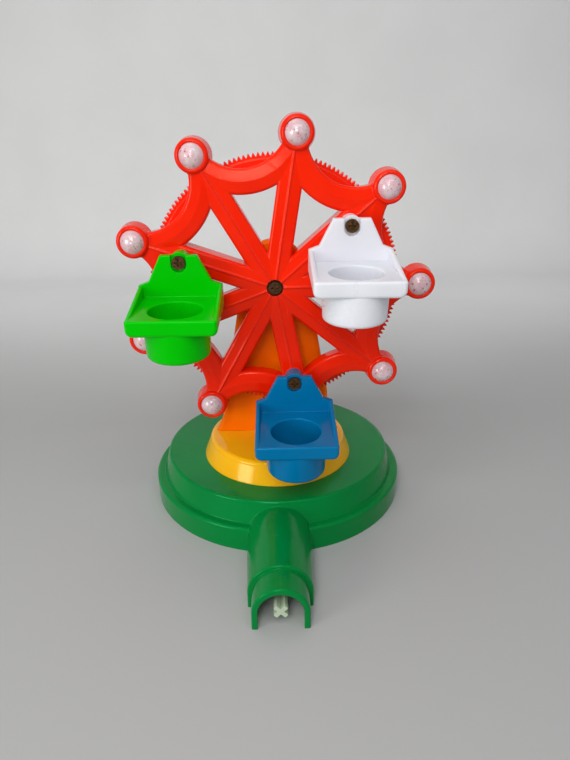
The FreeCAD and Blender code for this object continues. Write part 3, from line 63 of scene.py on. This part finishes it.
class Tree:
    """A small writer for shader node trees."""

    def __init__(self, name):
        self.material = bpy.data.materials.new(name)
        self.material.use_nodes = True
        self.tree = self.material.node_tree
        self.tree.nodes.clear()
        self.coords = self.node("ShaderNodeTexCoord").outputs["Object"]

    def node(self, kind, inputs=None, **settings):
        item = self.tree.nodes.new(kind)
        for key, value in settings.items():
            setattr(item, key, value)
        for key, value in (inputs or {}).items():
            self.feed(item.inputs[key], value)
        return item

    def feed(self, socket, value):
        if isinstance(value, bpy.types.NodeSocket):
            self.tree.links.new(value, socket)
        else:
            socket.default_value = value

    def noise(self, scale, detail=3.0, rough=0.5, vector=None, distortion=0.0):
        inputs = {"Vector": vector or self.coords, "Scale": scale, "Detail": detail, "Roughness": rough,
                  "Distortion": distortion}
        return self.node("ShaderNodeTexNoise", inputs).outputs["Fac"]

    def stretched(self, scale, turn):
        """Object coordinates scaled by axis, for drawn-out marks."""
        inputs = {"Vector": self.coords, "Scale": scale, "Rotation": turn}
        return self.node("ShaderNodeMapping", inputs).outputs["Vector"]

    def ramp(self, value, low, high, first=0.0, last=1.0):
        """Value mapped smoothly from low..high to first..last."""
        inputs = {"Value": value, "From Min": low, "From Max": high, "To Min": first, "To Max": last}
        item = self.node("ShaderNodeMapRange", inputs, interpolation_type="SMOOTHSTEP")
        return item.outputs["Result"]

    def math(self, kind, a, b):
        return self.node("ShaderNodeMath", {0: a, 1: b}, operation=kind).outputs[0]

    def mix(self, share, a, b):
        """Colour a with a share of colour b laid over it."""
        item = self.node("ShaderNodeMix", data_type="RGBA")
        self.feed(item.inputs[0], share)
        self.feed(item.inputs[6], a)
        self.feed(item.inputs[7], b)
        return item.outputs[2]

    def bump(self, height, strength, distance, normal=None):
        inputs = {"Height": height, "Strength": strength, "Distance": distance}
        if normal is not None:
            inputs["Normal"] = normal
        return self.node("ShaderNodeBump", inputs).outputs["Normal"]

    def finish(self, **inputs):
        """One Principled shader with these inputs, underscores for spaces, and the finished material."""
        shader = self.node("ShaderNodeBsdfPrincipled")
        for key, value in inputs.items():
            self.feed(shader.inputs[key.replace("_", " ")], value)
        self.node("ShaderNodeOutputMaterial", {"Surface": shader.outputs[0]})
        return self.material


def rgba(colour):
    return (*colour, 1.0)


# ---------------------------------------------------------------- finishes

DUST = (0.62, 0.60, 0.56)


def hairlines(t):
    """Fine scratches in two directions, only in the patches that were rubbed."""
    one_way = t.noise(1.0, 2.0, 0.5, vector=t.stretched((2600.0, 60.0, 130.0), (0.2, 0.9, 0.4)))
    other_way = t.noise(1.0, 2.0, 0.5, vector=t.stretched((90.0, 70.0, 2400.0), (0.6, 0.3, 1.1)))
    hair = t.math("MAXIMUM", t.ramp(one_way, 0.70, 0.76), t.ramp(other_way, 0.71, 0.77))
    patches = t.ramp(t.noise(55.0, 3.0), 0.48, 0.66)
    return t.math("MULTIPLY", hair, patches)


def settled_dust(t, flat, amount):
    """Specks on the faces that look up."""
    specks = t.ramp(t.noise(420.0, 4.0, 0.7), 0.58, 0.75)
    up = t.node("ShaderNodeSeparateXYZ", {0: flat}).outputs["Z"]
    return t.math("MULTIPLY", t.math("MULTIPLY", specks, t.ramp(up, 0.5, 0.95)), amount)


def moulded(name, colour, deep, rough=0.3, edge=0.0006, scuff=0.18, subsurface=0.0, radius=(1, 1, 1),
            dust=0.0, shine=0.45, tint=(1, 1, 1), reach=0.004, worn=0.05, waves=0.06):
    """Glossy moulded plastic: flow marks, dimples, hairline scratches, pale edges that are partly rubbing
    wear and partly a painted highlight, and handling haze.

    The colour drifts between colour and deep. edge is the width of the rounded, pale edges and reach how far
    light goes into the plastic, both in metres; worn is the share of pale colour on the edges, partly
    rubbing wear and partly a painted highlight; the other values are shares from 0 to 1.
    """
    t = Tree(name)
    pale = tuple(c * 0.72 + 0.22 for c in colour)
    cloud = t.noise(28.0, 4.0, 0.55, distortion=0.4)
    streak = t.noise(1.0, 5.0, 0.6, vector=t.stretched((40.0, 220.0, 90.0), (0.3, 0.1, 0.5)))
    marks = hairlines(t)
    corner = t.node("ShaderNodeBevel", {"Radius": edge}, samples=6).outputs["Normal"]
    flat = t.node("ShaderNodeNewGeometry").outputs["Normal"]
    alike = t.node("ShaderNodeVectorMath", {0: corner, 1: flat}, operation="DOT_PRODUCT").outputs["Value"]
    # This mask picks out the edges. The pale colour laid there is partly rubbing wear and partly a painted
    # highlight.
    rim_wear_and_highlight = t.ramp(alike, 0.995, 0.86)

    tone = t.mix(t.ramp(cloud, 0.3, 0.72), rgba(colour), rgba(deep))
    tone = t.mix(t.math("MULTIPLY", marks, scuff), tone, rgba(pale))
    # Pale edges: rubbing wear plus a painted highlight along crests and rounded edges.
    tone = t.mix(t.math("MULTIPLY", rim_wear_and_highlight, worn), tone, rgba(pale))
    if dust:
        tone = t.mix(settled_dust(t, flat, dust), tone, rgba(DUST))

    haze = t.ramp(t.noise(16.0, 5.0, 0.62, distortion=0.8), 0.35, 0.75, rough * 0.82, rough * 1.28)
    haze = t.math("ADD", haze, t.math("MULTIPLY", marks, scuff))
    haze = t.math("ADD", haze, t.math("MULTIPLY", streak, 0.03))

    dimple = t.bump(t.noise(900.0, 2.0, 0.5), 0.05, 0.0004, corner)
    flow = t.bump(t.noise(70.0, 3.0, 0.5, distortion=0.6), waves, 0.002, dimple)
    scratched = t.bump(t.math("MULTIPLY", marks, -1.0), 0.5 * scuff, 0.0002, flow)
    return t.finish(Base_Color=tone, Roughness=haze, Normal=scratched, IOR=PLASTIC_IOR,
                    Specular_IOR_Level=shine, Specular_Tint=rgba(tint), Subsurface_Weight=subsurface,
                    Subsurface_Radius=radius, Subsurface_Scale=reach)


def pearl_paint():
    """Pearly paint on the red domes, worn through in places."""
    pearl, blush = (0.74, 0.60, 0.62), (0.68, 0.40, 0.44)
    bare_plastic, soot = (0.62, 0.03, 0.03), (0.10, 0.08, 0.08)
    t = Tree("pearl_paint")
    cloud = t.noise(260.0, 4.0, 0.6)
    paint = t.mix(t.ramp(cloud, 0.35, 0.7), rgba(pearl), rgba(blush))
    chips = t.ramp(t.noise(620.0, 4.0, 0.65), 0.60, 0.63)
    areas = t.ramp(t.noise(85.0, 3.0, 0.6), 0.46, 0.58)
    chip = t.math("MULTIPLY", chips, areas)
    grime = t.ramp(t.noise(900.0, 5.0, 0.75, distortion=1.5), 0.57, 0.62)
    spots = t.math("MULTIPLY", grime, t.ramp(t.noise(70.0, 2.0), 0.47, 0.56))
    colour = t.mix(chip, paint, rgba(bare_plastic))
    colour = t.mix(t.math("MULTIPLY", spots, 0.9), colour, rgba(soot))
    rough = t.ramp(cloud, 0.3, 0.75, 0.16, 0.34)
    bumped = t.bump(t.noise(700.0, 4.0, 0.6), 0.18, 0.0004)
    worn = t.bump(t.math("MULTIPLY", chip, -1.0), 0.3, 0.0002, bumped)
    return t.finish(Base_Color=colour, Roughness=rough, Normal=worn, IOR=PLASTIC_IOR, Coat_Weight=0.8,
                    Coat_Roughness=0.07)


def metal(name, bright, dark, rough, rust):
    """Steel with tarnish blotches and rust pits."""
    pit_brown = (0.035, 0.02, 0.012)
    t = Tree(name)
    blotch = t.noise(900.0, 5.0, 0.7, distortion=0.7)
    tone = t.mix(t.ramp(blotch, 0.38, 0.66), rgba(bright), rgba(dark))
    pits = t.ramp(t.noise(2600.0, 3.0, 0.6), 0.6, 0.72)
    tone = t.mix(t.math("MULTIPLY", pits, rust), tone, rgba(pit_brown))
    haze = t.ramp(blotch, 0.3, 0.7, rough * 0.8, rough * 1.35)
    bumped = t.bump(t.noise(1500.0, 4.0, 0.6), 0.35, 0.0003)
    return t.finish(Base_Color=tone, Metallic=0.9, Roughness=haze, Normal=bumped)


def visible_plastics():
    """The coloured mouldings, by node. Each has its main colour and a slightly deeper one."""
    # The red's large worn share paints pale highlight lines along its crests and rounded edges, beside some
    # wear.
    red = moulded("wheel_plastic", (0.94, 0.017, 0.0005), (0.86, 0.012, 0.0004), rough=0.16, worn=0.16,
                  tint=(1.0, 0.45, 0.30), shine=0.45)
    green = moulded("base_plastic", (0.0002, 0.215, 0.040), (0.0002, 0.19, 0.034), rough=0.14, dust=0.02,
                    scuff=0.05, tint=(0.20, 1.0, 0.50), worn=0.03, shine=0.3)
    amber = moulded("tower_plastic", (1.0, 0.50, 0.004), (1.0, 0.45, 0.003), rough=0.15, subsurface=0.2,
                    radius=(1.0, 0.45, 0.08), reach=0.004, tint=(1.0, 0.85, 0.50), scuff=0.05, shine=0.5)
    # The front plate is the shell's amber made redder. This is a painted red glow for light bounced from the
    # wheel and carried through the amber, plus painted shade under the wheel.
    amber_front_painted_glow = moulded("tower_plastic_front_painted_glow", (1.0, 0.20, 0.001), (1.0, 0.16, 0.001), rough=0.24,
                          subsurface=0.15, radius=(1.0, 0.25, 0.04), reach=0.003, tint=(1.0, 0.45, 0.12),
                          scuff=0.05, shine=0.3)
    cover = moulded("cover_plastic", (0.0005, 0.15, 0.036), (0.0004, 0.12, 0.03), rough=0.5, scuff=0.6)
    shaft = moulded("shaft_plastic", (0.50, 0.60, 0.44), (0.42, 0.50, 0.36), rough=0.4, edge=0.0002)
    return {"base_shell": green, "base_cover": cover, "tower_shell": amber, "tower_front": amber_front_painted_glow,
            "wheel": red, "ring_gear": red, "pinion": red, "bulb_domes": pearl_paint(), "drive_shaft": shaft}


def seat_plastics():
    green = moulded("seat_green_plastic", (0.0006, 0.56, 0.0006), (0.0005, 0.50, 0.0005), rough=0.18,
                    tint=(0.15, 1.0, 0.18), scuff=0.06, shine=0.3)
    blue = moulded("seat_blue_plastic", (0.0004, 0.165, 0.385), (0.0003, 0.15, 0.35), rough=0.18,
                   tint=(0.22, 0.70, 1.0), scuff=0.06, shine=0.36)
    white = moulded("seat_white_plastic", (0.79, 0.81, 0.86), (0.76, 0.78, 0.84), rough=0.30,
                    subsurface=0.4, radius=(1.0, 1.0, 1.0), reach=0.006, scuff=0.01, worn=0.0,
                    waves=0.015)
    return {"seat_green": green, "seat_blue": blue, "seat_white": white}


def inner_finishes():
    """Gears, plate, collars, pins and screws."""
    gear_white = moulded("gear_plastic", (0.75, 0.74, 0.68), (0.7, 0.69, 0.62), rough=0.4)
    grey = moulded("plate_plastic", (0.5, 0.5, 0.47), (0.45, 0.45, 0.42), rough=0.5)
    black = moulded("collar_plastic", (0.02, 0.02, 0.02), (0.03, 0.03, 0.03), rough=0.5)
    rusty = metal("rusty_screw", (0.15, 0.075, 0.03), (0.05, 0.025, 0.011), 0.5, 0.8)
    zinc = metal("screw_steel", (0.42, 0.39, 0.34), (0.25, 0.22, 0.18), 0.4, 0.4)
    steel = metal("steel_pin", (0.6, 0.6, 0.6), (0.5, 0.5, 0.5), 0.25, 0.2)
    groups = (
        (gear_white, ("idler_gear", "shaft_gear", "drive_gear")),
        (grey, ("gear_plate",)),
        (black, ("shaft_collars",)),
        (rusty, ("hub_screw", "seat_screws", "hub_washer")),
        (zinc, ("cover_screws", "foot_screws", "plate_screws", "back_screws", "ring_screws")),
        (steel, ("idler_pin", "pinion_shaft")),
    )
    return {name: finish for finish, names in groups for name in names}


def paint_nodes():
    """Each CAD node gets its finish on its own slots; no mesh and no place is changed."""
    for name, finish in {**visible_plastics(), **seat_plastics(), **inner_finishes()}.items():
        part = nodes[name]
        if not part.material_slots:
            part.data.materials.append(finish)
        for entry in part.material_slots:
            entry.link = "OBJECT"
            entry.material = finish


# ---------------------------------------------------------------- stage and light

# The stage is one sheet: a floor, a bend and an upright wall behind the toy. Lengths are in metres, and the
# grey turns paler between two places along Y. This paler grey is the wall's own colour laid onto the far
# floor as painted light.
STAGE_HALF_WIDTH = 3.2
STAGE_FRONT = -3.2
STAGE_BACK = 0.55
STAGE_TOP = 1.6
STAGE_BEND = 0.08
BEND_STEPS = 10
FLOOR_GREY = (0.44, 0.44, 0.435)
WALL_GREY = (0.90, 0.90, 0.89)
PALER_FROM, PALER_TO = 0.04, 0.40


def stage_material():
    """Plain matt surface, paler towards the back: the pale wall's own colour, and painted light on the far
    floor.
    """
    t = Tree("floor_matt")
    depth = t.node("ShaderNodeSeparateXYZ", {0: t.coords}).outputs["Y"]
    # Painted light: the far floor takes the pale wall grey, making up for the lamps' fall-off there.
    tone = t.mix(t.ramp(depth, PALER_FROM, PALER_TO), rgba(FLOOR_GREY), rgba(WALL_GREY))
    grain = t.mix(t.ramp(t.noise(9.0, 4.0), 0.3, 0.7), tone, rgba(FLOOR_GREY))
    return t.finish(Base_Color=t.mix(0.08, tone, grain), Roughness=0.85)


def add_stage():
    bend_start = STAGE_BACK - STAGE_BEND
    profile = [(STAGE_FRONT, 0.0), (bend_start, 0.0)]
    for i in range(1, BEND_STEPS + 1):
        a = math.pi / 2 * i / BEND_STEPS
        profile.append((bend_start + STAGE_BEND * math.sin(a), STAGE_BEND - STAGE_BEND * math.cos(a)))
    profile.append((STAGE_BACK, STAGE_TOP))
    verts = [(side * STAGE_HALF_WIDTH, y, z) for y, z in profile for side in (-1, 1)]
    faces = [(2 * i, 2 * i + 1, 2 * i + 3, 2 * i + 2) for i in range(len(profile) - 1)]
    mesh = bpy.data.meshes.new("floor")
    mesh.from_pydata(verts, [], faces)
    mesh.polygons.foreach_set("use_smooth", [True] * len(faces))
    floor = bpy.data.objects.new("floor", mesh)
    scene.collection.objects.link(floor)
    floor.data.materials.append(stage_material())


# Each lamp: name, place, the height it aims at over the base's centre, its width and height (all in metres),
# power in watts, colour.
LAMPS = (
    ("window", (-0.60, -0.52, 0.19), 0.10, 0.30, 0.32, 2.3, (1.0, 0.99, 0.97)),
    ("near", (-0.06, -0.42, 0.29), 0.09, 0.12, 0.10, 0.36, (1.0, 1.0, 1.0)),
    ("front", (-0.10, -0.52, 0.54), 0.14, 0.22, 0.14, 0.85, (1.0, 1.0, 1.0)),
    ("strip", (-0.02, -0.36, 0.64), 0.03, 0.75, 0.05, 0.9, (1.0, 1.0, 1.0)),
    ("fill", (0.75, -0.55, 0.40), 0.08, 0.6, 0.5, 0.4, (0.95, 0.97, 1.0)),
    ("overhead", (-0.1, 0.15, 0.8), 0.0, 0.5, 0.35, 0.5, (1.0, 1.0, 1.0)),
)
SKY_COLOUR = (0.96, 0.97, 1.0)
SKY_STRENGTH = 0.33


def add_lamp(name, at, aim_height, width, height, power, colour):
    data = bpy.data.lights.new(name, "AREA")
    data.shape = "RECTANGLE"
    data.size, data.size_y = width, height
    data.energy = power
    data.color = colour
    lamp = bpy.data.objects.new(name, data)
    scene.collection.objects.link(lamp)
    lamp.location = at
    aim = Vector((0, 0, aim_height))
    lamp.rotation_euler = (aim - Vector(at)).to_track_quat("-Z", "Y").to_euler()


def add_sky():
    world = bpy.data.worlds.new("world")
    world.use_nodes = True
    background = world.node_tree.nodes["Background"]
    background.inputs["Color"].default_value = rgba(SKY_COLOUR)
    background.inputs["Strength"].default_value = SKY_STRENGTH
    scene.world = world


# ---------------------------------------------------------------- the scene

add_camera()
paint_nodes()
add_stage()
for lamp_values in LAMPS:
    add_lamp(*lamp_values)
add_sky()
scene.view_settings.view_transform = "Standard"
